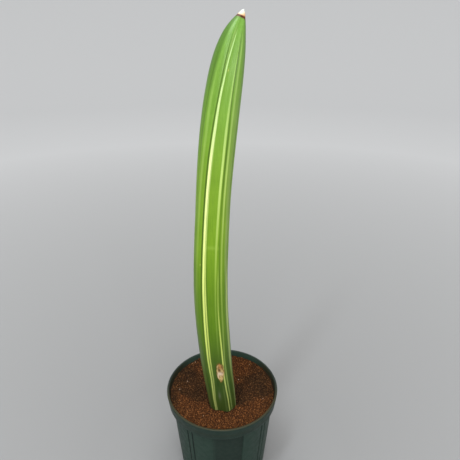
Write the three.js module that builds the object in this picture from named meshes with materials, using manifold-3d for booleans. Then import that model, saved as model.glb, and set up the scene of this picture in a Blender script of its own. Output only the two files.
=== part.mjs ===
// A potted sansevieria: one thick, channelled, nearly upright leaf in granular soil in a moulded
// nursery pot. Millimetres, +Z up. The origin is the centre of the pot's underside, -Y is the front.
// Angles go round from the front towards +X, in degrees.

import * as THREE from "three";
import { mergeVertices } from "three/addons/utils/BufferGeometryUtils.js";
import Module from "manifold-3d";

const wasm = await Module();
wasm.setup();

// Pot: a plain round band at the rim over a tapered body with four wide pressed-in panels and,
// halfway between the panels, pairs of narrow upright grooves.
const rimRadius = 60;
const potHeight = 104;
const wallThickness = 1.8;
const floorThickness = 2;
const lipRounding = 0.6;
const bandFoot = { radius: 58.3, depth: 13.8 };
const bodyTop = { radius: 55.2, depth: 15.4 };
const bodyTaper = 0.081;
const footChamfer = 1.2;
const panelCount = 4;
const panelMiddle = 8;
const panelDepth = 1.6;
const panelLeftEdge = { from: -18, to: -14 };
const panelRightEdge = { from: 15.5, to: 16.5 };
const grooveDepth = 0.9;
const grooveOffset = 3.1;
const grooveFlat = 0.4;
const grooveEdge = 0.9;
const widestStep = 4.5;
const drainHoleCount = 4;
const drainHoleRadius = 4.5;
const drainHoleRing = 30;

// Soil: granular, nearly level round the leaf and rising towards the wall, with a plain hole for the
// leaf. The rise starts at one radius and is complete at another.
const soilHeight = potHeight - 9;
const soilRise = { height: 3.4, from: 38, to: 56 };
const clearance = 0.3;
const granuleSpacing = 2.5;
const granuleHeight = 1.4;
const granuleShift = 0.5;
const soilSwell = { height: 0.7, acrossX: 17, acrossY: 21, phaseX: 0.6, phaseY: -0.4 };
// The hollows in the soil along the leaf's right edge and in front of it: each one's middle, its
// half widths and its depth.
const soilHollows = [
  { x: 16.2, y: -11.5, acrossX: 2.6, acrossY: 7, depth: 3.4 },
  { x: 6.5, y: -27.5, acrossX: 6, acrossY: 3, depth: 1.4 },
];
const soilAllowance = 6;

// Leaf: its course from the buried base to the hard point. At each height: where its middle is,
// half its width, how far the channel on its front is turned, and half the channel's angle.
const leafCourse = [
  { height: 50, x: 4.8, y: -14.8, half: 13.4, turn: -8, channel: 33 },
  { height: 95, x: 0.6, y: -14.8, half: 14.2, turn: -7, channel: 33 },
  { height: 165, x: -6.4, y: -14.4, half: 15.9, turn: -6, channel: 32.5 },
  { height: 235, x: -9.6, y: -13.5, half: 16, turn: -2, channel: 32 },
  { height: 320, x: -6.5, y: -10, half: 15.2, turn: 1.5, channel: 30.5 },
  { height: 380, x: -1.5, y: -5.7, half: 15.6, turn: 6, channel: 27 },
  { height: 425, x: 4.7, y: -1, half: 15.5, turn: 12, channel: 23.5 },
  { height: 455, x: 11.2, y: 3.9, half: 15.5, turn: 17, channel: 23.5 },
  { height: 475.5, x: 19, y: 9, half: 15.4, turn: 20, channel: 23.5 },
];
const leafBase = leafCourse[0].height;
const leafApex = leafCourse[leafCourse.length - 1].height;
const hardPointBase = 470.4;
const hardPointHalf = 3.6;
const hardPointStep = 0.3;
const leafRounding = 20;
const buriedTaper = { share: 0.35, power: 1.5 };

// Leaf section, in shares of half its width: an oval with a face for the channel between -36 and 36
// nominal degrees, and a furrow at every 36 degrees.
const leafThickness = 0.88;
const channelHollow = 0.04;
const channelAngle = 36;
const channelGroove = 0.035;
const furrowDepth = 0.018;
const furrowHalfAngle = 3.5;
const courseStep = 0.5;
const leafRings = 46;
const ringCrowding = 1.3;
const pointRings = 4;
const pointFullness = 0.65;

function radians(degrees) {
  return (degrees * Math.PI) / 180;
}

function clamp01(value) {
  return Math.min(1, Math.max(0, value));
}

function ramp(value, from, to) {
  return clamp01((value - from) / (to - from));
}

// A point at an angle from the front, at a radius and a height.
function around(angle, radius, height) {
  return new THREE.Vector3(radius * Math.sin(radians(angle)), -radius * Math.cos(radians(angle)), height);
}

// One closed surface through a list of rings with equally many points, from the middle of the first
// ring to the middle of the last. A ring may also be one point, which then closes that end.
function closedLoft(rings) {
  const total = (ring) => ring.reduce((sum, point) => sum.add(point), new THREE.Vector3());
  const middle = (ring) => total(ring).divideScalar(ring.length);
  const count = Math.max(...rings.map((ring) => ring.length));
  const ends = [rings[0], rings[rings.length - 1]].map((ring) => Array(count).fill(middle(ring)));
  const open = rings.filter((ring) => ring.length > 1);
  const all = [ends[0], ...open, ends[1]];
  const corners = [];
  for (let i = 0; i + 1 < all.length; i++) {
    for (let j = 0; j < count; j++) {
      const next = (j + 1) % count;
      const [a, b, c, d] = [all[i][j], all[i][next], all[i + 1][next], all[i + 1][j]];
      if (i > 0) corners.push(a, b, c);
      if (i + 2 < all.length) corners.push(a, c, d);
    }
  }
  return new THREE.BufferGeometry().setFromPoints(corners);
}

function toSolid(geometry) {
  const bare = geometry.clone();
  for (const name of Object.keys(bare.attributes)) {
    if (name !== "position") bare.deleteAttribute(name);
  }
  const merged = mergeVertices(bare, 1e-4);
  return new wasm.Manifold(
    new wasm.Mesh({
      numProp: 3,
      vertProperties: new Float32Array(merged.attributes.position.array),
      triVerts: new Uint32Array(merged.index.array),
    }),
  );
}

function toGeometry(solid) {
  const mesh = solid.getMesh();
  const geometry = new THREE.BufferGeometry();
  geometry.setAttribute("position", new THREE.BufferAttribute(new Float32Array(mesh.vertProperties), 3));
  geometry.setIndex(new THREE.BufferAttribute(new Uint32Array(mesh.triVerts), 1));
  return geometry;
}

// Pot

// The angle from the middle of the nearest panel, from -45 to 45 degrees with four panels.
function fromPanel(angle) {
  const pitch = 360 / panelCount;
  const offset = angle - panelMiddle + pitch / 2;
  return offset - pitch * Math.floor(offset / pitch) - pitch / 2;
}

function panelPress(angle) {
  const here = fromPanel(angle);
  const left = ramp(here, panelLeftEdge.from, panelLeftEdge.to);
  const right = 1 - ramp(here, panelRightEdge.from, panelRightEdge.to);
  return panelDepth * Math.min(left, right);
}

function groovePress(angle) {
  const grooveMiddle = 180 / panelCount - grooveOffset;
  const away = Math.abs(Math.abs(fromPanel(angle)) - grooveMiddle);
  return grooveDepth * (1 - ramp(away, grooveFlat, grooveEdge));
}

// The angles of the pot's upright edges: each bend in the panels and grooves, and even steps between.
function potAngles() {
  const half = 180 / panelCount;
  const groove = [-grooveEdge, -grooveFlat, grooveFlat, grooveEdge];
  const bends = [
    ...groove.map((side) => -half + grooveOffset + side),
    ...Object.values(panelLeftEdge),
    ...Object.values(panelRightEdge),
    ...groove.map((side) => half - grooveOffset + side),
    half + grooveOffset - grooveEdge,
  ];
  const angles = [];
  for (let panel = 0; panel < panelCount; panel++) {
    for (let i = 0; i + 1 < bends.length; i++) {
      const gap = bends[i + 1] - bends[i];
      const steps = Math.ceil(gap / widestStep);
      for (let step = 0; step < steps; step++) {
        angles.push(panelMiddle + 2 * half * panel + bends[i] + (gap * step) / steps);
      }
    }
  }
  return angles;
}

function bodyRadius(depth) {
  return bodyTop.radius - bodyTaper * (depth - bodyTop.depth);
}

function potRing(radius, height, press = () => 0) {
  return potAngles().map((angle) => around(angle, radius - press(angle), height));
}

// The inside of the pot from the rim down to the floor's edge, drawn in by an offset all over.
function cavityRings(offset, topHeight) {
  const bandInside = bandFoot.radius - wallThickness - offset;
  const stepHeight = potHeight - bandFoot.depth + wallThickness / 2 + offset;
  const bodyHeight = potHeight - bodyTop.depth + wallThickness / 2 + offset;
  const floorHeight = floorThickness + offset;
  return [
    potRing(bandInside + bandFoot.depth * bodyTaper, topHeight),
    potRing(bandInside, stepHeight),
    potRing(bodyTop.radius - wallThickness - offset, bodyHeight, panelPress),
    potRing(bodyRadius(potHeight - floorHeight) - wallThickness - offset, floorHeight, panelPress),
  ];
}

function potSolid() {
  const pressed = (angle) => panelPress(angle) + groovePress(angle);
  const footRadius = bodyRadius(potHeight);
  const bandInside = bandFoot.radius - wallThickness + bandFoot.depth * bodyTaper;
  const shell = toSolid(
    closedLoft([
      potRing(footRadius - footChamfer, 0, pressed),
      potRing(footRadius, footChamfer, pressed),
      potRing(bodyTop.radius, potHeight - bodyTop.depth, pressed),
      potRing(bandFoot.radius, potHeight - bandFoot.depth),
      potRing(rimRadius, potHeight - lipRounding),
      potRing(rimRadius - lipRounding, potHeight),
      potRing(bandInside + lipRounding, potHeight),
      ...cavityRings(0, potHeight - lipRounding),
    ]),
  );
  let pierced = shell;
  for (let i = 0; i < drainHoleCount; i++) {
    const hole = new THREE.CylinderGeometry(drainHoleRadius, drainHoleRadius, 3 * floorThickness, 16);
    hole.rotateX(Math.PI / 2);
    const place = around(panelMiddle + (360 / drainHoleCount) * (i + 0.5), drainHoleRing, 0);
    hole.translate(place.x, place.y, place.z);
    pierced = pierced.subtract(toSolid(hole));
  }
  return pierced;
}

// Leaf

// A smooth curve through one column of the leaf's course, read at a height.
function alongLeaf(column, height) {
  const last = leafCourse.length - 1;
  let i = 0;
  while (i < last - 1 && height > leafCourse[i + 1].height) i++;
  const slope = (k) => {
    const before = leafCourse[Math.max(0, k - 1)];
    const after = leafCourse[Math.min(last, k + 1)];
    return (after[column] - before[column]) / (after.height - before.height);
  };
  const [low, high] = [leafCourse[i], leafCourse[i + 1]];
  const span = high.height - low.height;
  const t = (height - low.height) / span;
  const [t2, t3] = [t * t, t * t * t];
  return (
    (2 * t3 - 3 * t2 + 1) * low[column] +
    (t3 - 2 * t2 + t) * span * slope(i) +
    (3 * t2 - 2 * t3) * high[column] +
    (t3 - t2) * span * slope(i + 1)
  );
}

// Half the leaf's width at a height: it narrows to the hard point above, and a little underground.
function leafHalfWidth(height) {
  const full = alongLeaf("half", height);
  if (height >= hardPointBase) {
    const up = (height - hardPointBase) / (leafApex - hardPointBase);
    return hardPointHalf * Math.pow(1 - up, pointFullness);
  }
  const toPoint = Math.exp((height - hardPointBase) / leafRounding);
  const buried = clamp01((soilHeight - height) / (soilHeight - leafBase));
  return (full - (full - hardPointHalf) * toPoint) * (1 - buriedTaper.share * Math.pow(buried, buriedTaper.power));
}

// The angle at which a nominal angle of the section really stands, before the leaf's turn: the
// channel narrows up the leaf, and the rest of the section spreads to fill the round.
function standingAngle(angle, height) {
  const half = alongLeaf("channel", height);
  const size = Math.abs(angle);
  if (size < channelAngle) return (angle * half) / channelAngle;
  return Math.sign(angle) * (half + ((size - channelAngle) * (180 - half)) / (180 - channelAngle));
}

function ovalShare(angle) {
  return 1 / Math.hypot(Math.sin(radians(angle)), Math.cos(radians(angle)) / leafThickness);
}

// The channel's face: straight from edge to edge, apart from its slightly hollow middle.
function faceShare(stands, height) {
  const half = alongLeaf("channel", height);
  const hollow = channelHollow * Math.cos((radians(stands) * 90) / half);
  return (ovalShare(half) * Math.cos(radians(half)) - hollow) / Math.cos(radians(stands));
}

// The leaf's cross-section, as a share of half its width: an oval with the channel's face in front,
// a groove at each edge of the face, and shallow furrows round the rest. The hard point is plain.
function sectionShare(angle, height) {
  const stands = standingAngle(angle, height);
  if (height >= hardPointBase) return ovalShare(stands);
  if (Math.abs(angle) < channelAngle) return faceShare(stands, height);
  if (Math.abs(angle) === channelAngle) return ovalShare(stands) - channelGroove;
  return ovalShare(stands) - (angle % channelAngle === 0 ? furrowDepth : 0);
}

// Section angles from -180 to 180: three at each furrow and two between, so that each has its edges.
function sectionAngles() {
  const angles = [];
  const furrows = 360 / channelAngle;
  const edge = furrowHalfAngle;
  const between = (channelAngle - 2 * edge) / 3;
  const steps = [-edge, 0, edge, edge + between, edge + 2 * between];
  for (let i = 1; i <= furrows; i++) {
    for (const step of steps) {
      const angle = channelAngle * (i - furrows / 2) + step;
      angles.push(angle > 180 ? angle - 360 : angle);
    }
  }
  return angles;
}

function leafRing(height, offset) {
  const onCourse = (at) => new THREE.Vector3(alongLeaf("x", at), alongLeaf("y", at), at);
  const middle = onCourse(height);
  const along = onCourse(height + courseStep).sub(middle).normalize();
  const side = new THREE.Vector3(1, 0, 0).addScaledVector(along, -along.x).normalize();
  const front = new THREE.Vector3().crossVectors(side, along);
  const half = leafHalfWidth(height);
  const turn = alongLeaf("turn", height);
  return sectionAngles().map((angle) => {
    const radius = half * sectionShare(angle, height) + offset;
    const turned = radians(standingAngle(angle, height) + turn);
    return middle
      .clone()
      .addScaledVector(side, radius * Math.sin(turned))
      .addScaledVector(front, radius * Math.cos(turned));
  });
}

// The leaf as one solid, or grown by an offset to cut its place in the soil.
function leafSolid(offset = 0) {
  const rings = [];
  for (let i = 0; i <= leafRings; i++) {
    const t = 1 - Math.pow(1 - i / leafRings, ringCrowding);
    rings.push(leafRing(leafBase + (hardPointBase - hardPointStep - leafBase) * t, offset));
  }
  for (let i = 0; i < pointRings; i++) {
    rings.push(leafRing(hardPointBase + ((leafApex - hardPointBase) * i) / pointRings, offset));
  }
  rings.push([new THREE.Vector3(alongLeaf("x", leafApex), alongLeaf("y", leafApex), leafApex + offset)]);
  rings[0].forEach((point) => point.setZ(point.z - offset));
  return toSolid(closedLoft(rings));
}

// Soil

// A fixed random number from 0 to 1 for each place.
function chance(x, y, salt) {
  const wave = Math.sin(x * 12.9898 + y * 78.233 + salt * 37.719) * 43758.5453;
  return wave - Math.floor(wave);
}

// How far the hollows take the soil down.
function hollowDepth(x, y) {
  const depths = soilHollows.map((hollow) => {
    const away = Math.hypot((x - hollow.x) / hollow.acrossX, (y - hollow.y) / hollow.acrossY);
    return hollow.depth * Math.exp(-away * away);
  });
  return Math.max(...depths);
}

function soilSurface(x, y) {
  const { height, acrossX, acrossY, phaseX, phaseY } = soilSwell;
  const swell = height * Math.sin(x / acrossX + phaseX) * Math.cos(y / acrossY + phaseY);
  const outward = ramp(Math.hypot(x, y), soilRise.from, soilRise.to);
  const rise = soilRise.height * outward * outward * (3 - 2 * outward);
  const grain = granuleHeight * (chance(x, y, 1) - 0.5);
  return soilHeight + rise + swell + grain - hollowDepth(x, y);
}

// The space above the soil: a block whose underside is the granular surface.
function aboveSoil() {
  const side = 2 * rimRadius;
  const cells = Math.round(side / granuleSpacing);
  const block = new THREE.BoxGeometry(side, side, potHeight, cells, cells, 1);
  block.translate(0, 0, soilHeight + potHeight / 2);
  const places = block.attributes.position;
  for (let i = 0; i < places.count; i++) {
    const [x, y] = [places.getX(i), places.getY(i)];
    if (places.getZ(i) > soilHeight + potHeight / 2) continue;
    places.setZ(i, soilSurface(x, y));
    const onBlockEdge = Math.max(Math.abs(x), Math.abs(y)) > rimRadius - granuleSpacing / 2;
    if (onBlockEdge) continue;
    places.setX(i, x + granuleSpacing * granuleShift * (chance(x, y, 2) - 0.5));
    places.setY(i, y + granuleSpacing * granuleShift * (chance(x, y, 3) - 0.5));
  }
  return toSolid(block);
}

function soilSolid() {
  const fill = toSolid(closedLoft(cavityRings(clearance, soilHeight + soilAllowance).reverse()));
  return fill.subtract(aboveSoil()).subtract(leafSolid(clearance));
}

// Materials and assembly

const looks = {
  pot: new THREE.MeshStandardMaterial({ color: "#33443d", roughness: 0.55, metalness: 0 }),
  soil: new THREE.MeshStandardMaterial({ color: "#5a3a22", roughness: 0.95, metalness: 0 }),
  leaf: new THREE.MeshStandardMaterial({ color: "#6f9a3c", roughness: 0.4, metalness: 0 }),
};

const plant = new THREE.Group();
for (const [name, solid] of Object.entries({ pot: potSolid(), soil: soilSolid(), leaf: leafSolid() })) {
  const mesh = new THREE.Mesh(toGeometry(solid), looks[name]);
  mesh.name = name;
  plant.add(mesh);
}

export default plant;
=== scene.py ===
"""Looks of a potted sansevieria: one thick channelled leaf with pale stripes, in granular soil in a
dark nursery pot.

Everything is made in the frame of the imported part: metres, +Z up, front at -Y. Sizes in this file are
millimetres, apart from the lights and the stage's glow, and turn into metres where a mesh is made.
Angles are degrees from the front towards +X. A surface's colour varies by facts: numbers from 0 to 1
that each point of its mesh has under a name, and that its material reads."""

import math

import bpy
import numpy as np
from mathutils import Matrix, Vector


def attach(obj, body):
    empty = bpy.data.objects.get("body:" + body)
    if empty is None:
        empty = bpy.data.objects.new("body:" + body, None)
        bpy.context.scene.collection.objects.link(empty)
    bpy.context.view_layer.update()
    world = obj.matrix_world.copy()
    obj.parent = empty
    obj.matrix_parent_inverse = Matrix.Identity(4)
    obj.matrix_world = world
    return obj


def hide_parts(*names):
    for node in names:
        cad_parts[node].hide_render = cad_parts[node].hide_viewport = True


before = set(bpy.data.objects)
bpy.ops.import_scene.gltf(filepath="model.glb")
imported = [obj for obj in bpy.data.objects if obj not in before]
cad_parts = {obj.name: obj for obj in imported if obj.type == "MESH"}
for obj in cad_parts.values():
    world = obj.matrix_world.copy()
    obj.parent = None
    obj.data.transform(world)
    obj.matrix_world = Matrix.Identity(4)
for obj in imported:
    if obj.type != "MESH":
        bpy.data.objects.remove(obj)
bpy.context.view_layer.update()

MM = 0.001
draw = np.random.default_rng(20)

# Pot, as in the part's source, but with a slightly slimmer and rounder lip
RIM_RADIUS = 59.95
POT_HEIGHT = 104.0
WALL = 1.8
FLOOR = 2.0
LIP_ROUNDING = 0.75
BAND_FOOT_RADIUS = 58.3
BAND_DEPTH = 13.8
BODY_TOP_RADIUS = 55.2
BODY_TOP_DEPTH = 15.4
BODY_TOP_HEIGHT = POT_HEIGHT - BODY_TOP_DEPTH
BODY_TAPER = 0.081
FOOT_CHAMFER = 1.2
PANEL_COUNT = 4
PANEL_PITCH = 360 / PANEL_COUNT
PANEL_MIDDLE = 8.0
PANEL_DEPTH = 1.6
PANEL_LEFT_EDGE = (-18, -14)
PANEL_RIGHT_EDGE = (15.4, 16.6)
# The panels' painted shade starts a little outside their soft left edge
PANEL_LEFT_SHADE = (-21, -12)
GROOVE_DEPTH = 0.9
GROOVE_OFFSET = 3.1
GROOVE_EDGE = (0.3, 1.0)
DRAIN_HOLES = 4
DRAIN_RADIUS = 4.5
DRAIN_RING = 30.0
DRAIN_CUTTER = 20

# Soil
SOIL_HEIGHT = 95.0
CLEARANCE = 0.3
# The rise towards the wall: its height, and the radii where it starts and is complete
SOIL_RISE = (3.4, 38.0, 56.0)
# Hollows along the leaf's right edge and in front of it: middle, half widths and depth
SOIL_HOLLOWS = [(16.2, -11.5, 2.6, 7.0, 3.4), (6.5, -27.5, 6.0, 3.0, 1.4)]
# The bed under the loose granules: how far it lies below their level, and its bumps
BED_DROP = 0.4
BUMP_HEIGHT = 0.9
BUMP_SIZES = (1.3, 3.1)
# Granules: how unevenly they are dented, how flat they get, and how far they lie up or down
GRANULE_DENTS = 0.36
GRANULE_SQUASH = (0.62, 1.0)
GRANULE_SHAKE = 0.3
# The few pale granules: place and size
PALE_GRANULES = np.array([
    (18.1, 17.7, 1.9), (-39.7, 16.1, 1.4), (-32.5, 43.5, 1.5), (-35.5, 41.5, 1.2), (-19, -33.6, 1.1),
    (31, 40, 1), (-8, 30, 1), (44, -12, 0.9), (-47, 2, 1),
])

# Leaf course: height, middle x and y, half width, turn of the channel, half the channel's angle
COURSE = np.array([
    (50, 4.8, -14.8, 13.4, -8, 33),
    (95, 0.6, -14.8, 14.2, -7, 33),
    (165, -6.4, -14.4, 15.9, -6, 32.5),
    (235, -9.6, -13.5, 16, -2, 32),
    (320, -6.5, -10, 15.2, 1.5, 30.5),
    (380, -1.5, -5.7, 15.6, 6, 27),
    (425, 4.7, -1, 15.5, 12, 23.5),
    (455, 11.2, 3.9, 15.5, 17, 23.5),
    (475.5, 19, 9, 15.4, 20, 23.5),
])
HEIGHT, X, Y, HALF, TURN, CHANNEL = range(6)
COURSE_STEP = 0.5
LEAF_BASE = COURSE[0, HEIGHT]
LEAF_APEX = COURSE[-1, HEIGHT]
POINT_BASE = 470.4
POINT_HALF = 3.6
POINT_FULLNESS = 0.65
POINT_DROP = 0.2
LEAF_ROUNDING = 20.0
BURIED_TAPER = 0.35
BURIED_POWER = 1.5

# Leaf section: an oval, a hollow face in front, and a groove or furrow at every 36 nominal degrees
THICKNESS = 0.88
HOLLOW = 0.04
FACE = 36.0
FACE_GROOVE = 0.035
FURROW = 0.018
FURROW_WIDTH = 2.2
FURROW_LINES = (72, -72, 108, -108, 144, -144, 180, -180)

# Leaf stripes. Each is a list of stations from the top down: height, middle and half width in nominal
# degrees, strength.
BRIGHT = [
    # Main stripe, left of the channel's middle
    [(462, -8, 3, 0), (455, -13, 4.4, 0.55), (448, -17, 4.6, 0.75), (439, -21.5, 4.2, 0.8),
     (414, -27, 4.6, 0.9), (388, -26.2, 5.5, 0.85), (364, -29.4, 5.2, 1), (338, -30.9, 4.3, 1),
     (312, -31.4, 4.1, 1), (284, -30.8, 4.1, 1), (254, -30, 3.7, 0.95), (222, -28, 3.3, 0.95),
     (200, -27.6, 3.3, 0.95), (164, -27.8, 3.2, 0.95), (138, -26, 3, 0.95), (122, -28.6, 3, 0.95),
     (110, -32, 3, 0.95), (101, -30, 3, 0.85), (92, -29, 2.8, 0.8)],
    # Its weaker second strand
    [(400, -20, 3, 0), (364, -22.5, 2.5, 0.3), (338, -24.5, 2.8, 0.4), (312, -24.5, 2.8, 0.4),
     (284, -24.5, 2.8, 0.45), (254, -23.2, 2.8, 0.5), (222, -19.8, 3, 0.72), (200, -18.5, 3.2, 0.75),
     (164, -18.5, 3.2, 0.75), (138, -16.5, 3.2, 0.62), (122, -21, 3.2, 0.6), (110, -25.8, 3.6, 0.6),
     (101, -24.8, 3.4, 0.6), (92, -22.5, 3, 0.5)],
    # Along the channel's right edge, strong near the soil
    [(275, 35, 1.2, 0), (254, 35.5, 1.4, 0.3), (222, 35.8, 1.7, 0.35), (200, 38, 2, 0.55),
     (180, 39.8, 2.3, 0.75), (160, 41, 2.4, 0.9), (138, 39.8, 2.8, 1), (122, 41.5, 2.6, 1),
     (110, 44, 2.6, 1), (101, 44.6, 2.6, 1), (92, 45.5, 2.8, 1)],
]
PALE_STRIPES_AND_HIGHLIGHTS = [
    # Right of the channel's middle
    [(466, 32, 3, 0), (440, 31, 4, 0.3), (415, 30, 4.5, 0.5), (388, 29.5, 5.5, 0.8),
     (364, 29.5, 4.5, 0.9), (340, 28, 4.4, 1), (312, 26.5, 4.2, 0.85), (284, 25, 3.8, 0.75),
     (254, 25.5, 3.2, 0.5), (222, 25.5, 3, 0.35), (200, 26.5, 2.6, 0.3), (175, 26, 2.4, 0.2),
     (160, 26, 2, 0)],
    # Outside the channel's right edge
    [(464, 44, 3, 0), (450, 45.5, 3.4, 0.55), (415, 46.4, 3.8, 0.5), (388, 47, 3.2, 0.6),
     (364, 47, 3.4, 0.7), (338, 46.6, 3.2, 0.85), (312, 46.5, 3.2, 0.8), (284, 46.5, 3, 0.65),
     (254, 48, 3.2, 0.65), (222, 50.5, 3, 0.5), (198, 51, 3.6, 0.5), (164, 48, 3.2, 0.7),
     (136, 50.8, 3.2, 1), (108, 56, 3.2, 1), (92, 58, 3, 0.9)],
    # Right of the channel's middle, under the wound
    [(134, 29, 3, 0), (122, 30, 4, 0.25), (92, 33, 4, 0.25)],
    # Right flank
    [(275, 78, 2, 0), (250, 77, 4.5, 0.75), (218, 76, 5, 1), (194, 77, 5.4, 1), (158, 78, 6, 0.9),
     (140, 79, 6, 0.6), (126, 80, 5, 0.3), (110, 80, 5, 0.15), (92, 78, 4, 0)],
    # Left flank: painted highlights, and painted light near the soil, not stripes of the leaf
    [(440, -60, 3, 0), (410, -59, 4, 0.25), (387, -55, 4, 0.22), (340, -58, 4, 0.28), (311, -58, 4, 0.3),
     (200, -58, 3, 0.12), (92, -58, 3, 0)],
    [(248, -72, 5, 0), (225, -72, 6, 0.3), (205, -72, 6, 0.3), (180, -72, 6, 0)],
    [(185, -58, 5, 0), (155, -60, 10, 0.3), (135, -64, 13, 0.45), (122, -62, 13, 0.33),
     (108, -62, 13, 0.33), (92, -60, 12, 0.2)],
    # Back
    [(430, 116, 3, 0), (380, 118, 4, 0.5), (250, 116, 3.5, 0.6), (92, 118, 3, 0.4)],
    [(440, -98, 3, 0), (360, -96, 3.5, 0.4), (220, -99, 3, 0.5), (92, -96, 3, 0.35)],
    [(430, -150, 3, 0), (340, -151, 4, 0.55), (200, -149, 4.5, 0.6), (92, -151, 4, 0.4)],
    [(420, 160, 3, 0), (300, 158, 3, 0.45), (180, 160, 3.5, 0.5), (92, 158, 3, 0.3)],
]
DARK = [
    # Left edge of the channel
    [(460, -34, 1, 0), (450, -36, 2.2, 0.5), (438, -35.3, 2.8, 0.8), (410, -35.6, 2.6, 0.8),
     (388, -37, 2.3, 0.85), (364, -38.5, 2.2, 0.9), (312, -39, 2.2, 1), (254, -38, 2, 1),
     (200, -36, 2, 0.85), (164, -35, 2, 0.7), (138, -34, 2, 0.7), (92, -35, 2, 0.6)],
    # Right edge of the channel
    [(466, 35.5, 1.4, 0), (456, 36.6, 2, 0.65), (440, 37.6, 1.9, 0.8), (414, 36.8, 1.7, 0.75),
     (388, 39, 2, 0.7), (364, 39, 2.2, 0.8), (312, 37.5, 1.8, 0.5), (284, 37.5, 1.9, 0.6),
     (254, 40.5, 1.7, 0.75), (222, 43.5, 1.8, 0.5), (190, 45.5, 1.5, 0.6), (164, 45, 1.2, 0.5),
     (136, 45.5, 1.6, 0.8), (108, 48, 1.4, 0.8), (92, 49, 1.2, 0.6)],
    # Between the two strands of the main stripe, and right of them
    [(290, -27.5, 0.8, 0), (254, -27.2, 1, 0.55), (222, -24.2, 1.1, 0.7), (164, -23.5, 1.1, 0.55),
     (138, -22.8, 1, 0.3), (110, -24, 1, 0)],
    [(330, -18, 1, 0), (300, -18.5, 1.6, 0.25), (254, -16.5, 2.6, 0.5), (222, -12.5, 2.6, 0.45),
     (180, -12.5, 2, 0.25), (130, -13.5, 2.4, 0.35), (110, -15.5, 2.4, 0.3), (92, -15, 2, 0)],
]
PAINTED_SHADE = [
    # Left flank, darker towards the top: partly the leaf's own darker green, partly painted shade
    [(475, -90, 30, 1), (440, -90, 29, 0.95), (410, -88, 23, 0.6), (380, -88, 22, 0.45),
     (350, -88, 18, 0.1), (320, -90, 16, 0), (215, -88, 18, 0), (190, -86, 22, 0.25),
     (165, -86, 22, 0.3), (145, -86, 20, 0), (92, -86, 16, 0)],
    # Right flank: partly the leaf's own darker green, partly painted shade
    [(475, 92, 28, 0.5), (450, 92, 28, 0.45), (428, 92, 20, 0.1), (400, 92, 14, 0), (240, 96, 12, 0),
     (180, 98, 12, 0.1), (120, 100, 12, 0), (92, 96, 16, 0.05)],
    # Outside the channel's left edge: darker green, partly painted shade
    [(466, -47, 7, 0.2), (440, -47, 5, 0.3), (400, -47, 5, 0.25), (360, -48, 5, 0.12), (320, -48, 5, 0)],
]
# Painted sheen: pale streaks that stand in for reflected light
PAINTED_SHEEN = [
    # Right flank: painted sheen, pale bluish streaks for reflected light
    [(430, 60, 9, 0), (400, 60, 9, 0.12), (340, 62, 9, 0.2), (310, 67, 9, 0.24), (285, 66, 8, 0.26),
     (265, 69, 8, 0.26), (240, 76, 6, 0.5), (215, 76, 6, 0.45), (190, 77, 6, 0.25), (160, 79, 6, 0.2),
     (140, 84, 7, 0.15), (120, 91, 9, 0.42), (92, 92, 9, 0.45)],
    # Left in the channel, under the point: a painted highlight
    [(466, -22, 4, 0), (458, -26, 5, 0.25), (444, -27.5, 4, 0.2), (430, -30, 3, 0)],
]

# The healed wound on the channel's face: its foot and top, its half width, and by the share of the way
# up the share of that width that it reaches to the sides, and its middle
WOUND = (134.3, 158.3)
WOUND_HALF_WIDTH = 17.5
WOUND_REACH = [
    (0, 0), (0.08, 0.28), (0.22, 0.7), (0.36, 0.97), (0.5, 1), (0.75, 0.88), (0.9, 0.66), (1, 0),
]
WOUND_MIDDLE = [(0, 23), (0.45, 23.5), (1, 26)]
# The dark rim round it: foot and top, and how much further it reaches to the sides
WOUND_RIM = (132.8, 160.2)
WOUND_RIM_REACH = 1.12

# Soft spots on the leaf: strength, angle, height, half width and half height
WOUND_PALE = [(1.2, 25, 145.3, 13, 2), (0.8, 13, 141.5, 5, 3.4), (0.3, 14, 154.5, 4, 2)]
WOUND_PITS = [(1.3, 22, 149.4, 7, 2.2), (0.6, 35, 154.5, 4, 3), (0.5, 33, 141, 3, 2)]
# Painted shadow along the wound's left edge
PAINTED_SHADE_SPOTS = [(0.7, 5, 133, 6, 5), (0.6, 5, 153, 5, 9)]
YELLOW_SPECKS = [(0.7, -10, 432, 3.2, 0.9), (0.9, -43, 269, 1.6, 0.8)]
GREY_SMUDGE = [(1, 4, 115, 8, 5)]

# Leaf colours by height, darker towards the soil: partly the leaf's own darker base, partly painted
# shade near the soil and the pot
LEAF_SPAN = (80, 480)
GREENS = [
    (95, (0.046, 0.074, 0.013)),
    (125, (0.04, 0.078, 0.014)),
    (160, (0.0557, 0.109, 0.005)),
    (205, (0.1, 0.204, 0.0035)),
    (245, (0.12, 0.235, 0.005)),
    (290, (0.174, 0.318, 0.0107)),
    (350, (0.177, 0.318, 0.0197)),
    (400, (0.174, 0.335, 0.0344)),
    (440, (0.161, 0.313, 0.041)),
    (470, (0.135, 0.287, 0.0369)),
]
PALES = [
    (95, (0.14, 0.186, 0.0558)),
    (170, (0.223, 0.307, 0.0651)),
    (260, (0.353, 0.493, 0.0744)),
    (350, (0.465, 0.623, 0.149)),
    (440, (0.372, 0.558, 0.158)),
]
CREAMS = [
    (95, (0.335, 0.372, 0.114)),
    (140, (0.409, 0.474, 0.123)),
    (180, (0.614, 0.707, 0.15)),
    (260, (0.781, 0.856, 0.25)),
    (350, (0.818, 0.883, 0.37)),
    (450, (0.512, 0.744, 0.29)),
]
POINT_SPAN = (469, 476)
POINT_COLOURS = [
    (470.4, (0.55, 0.22, 0.08)),
    (471.7, (0.72, 0.46, 0.25)),
    (473, (0.7, 0.6, 0.44)),
    (474.6, (0.58, 0.63, 0.55)),
]

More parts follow.
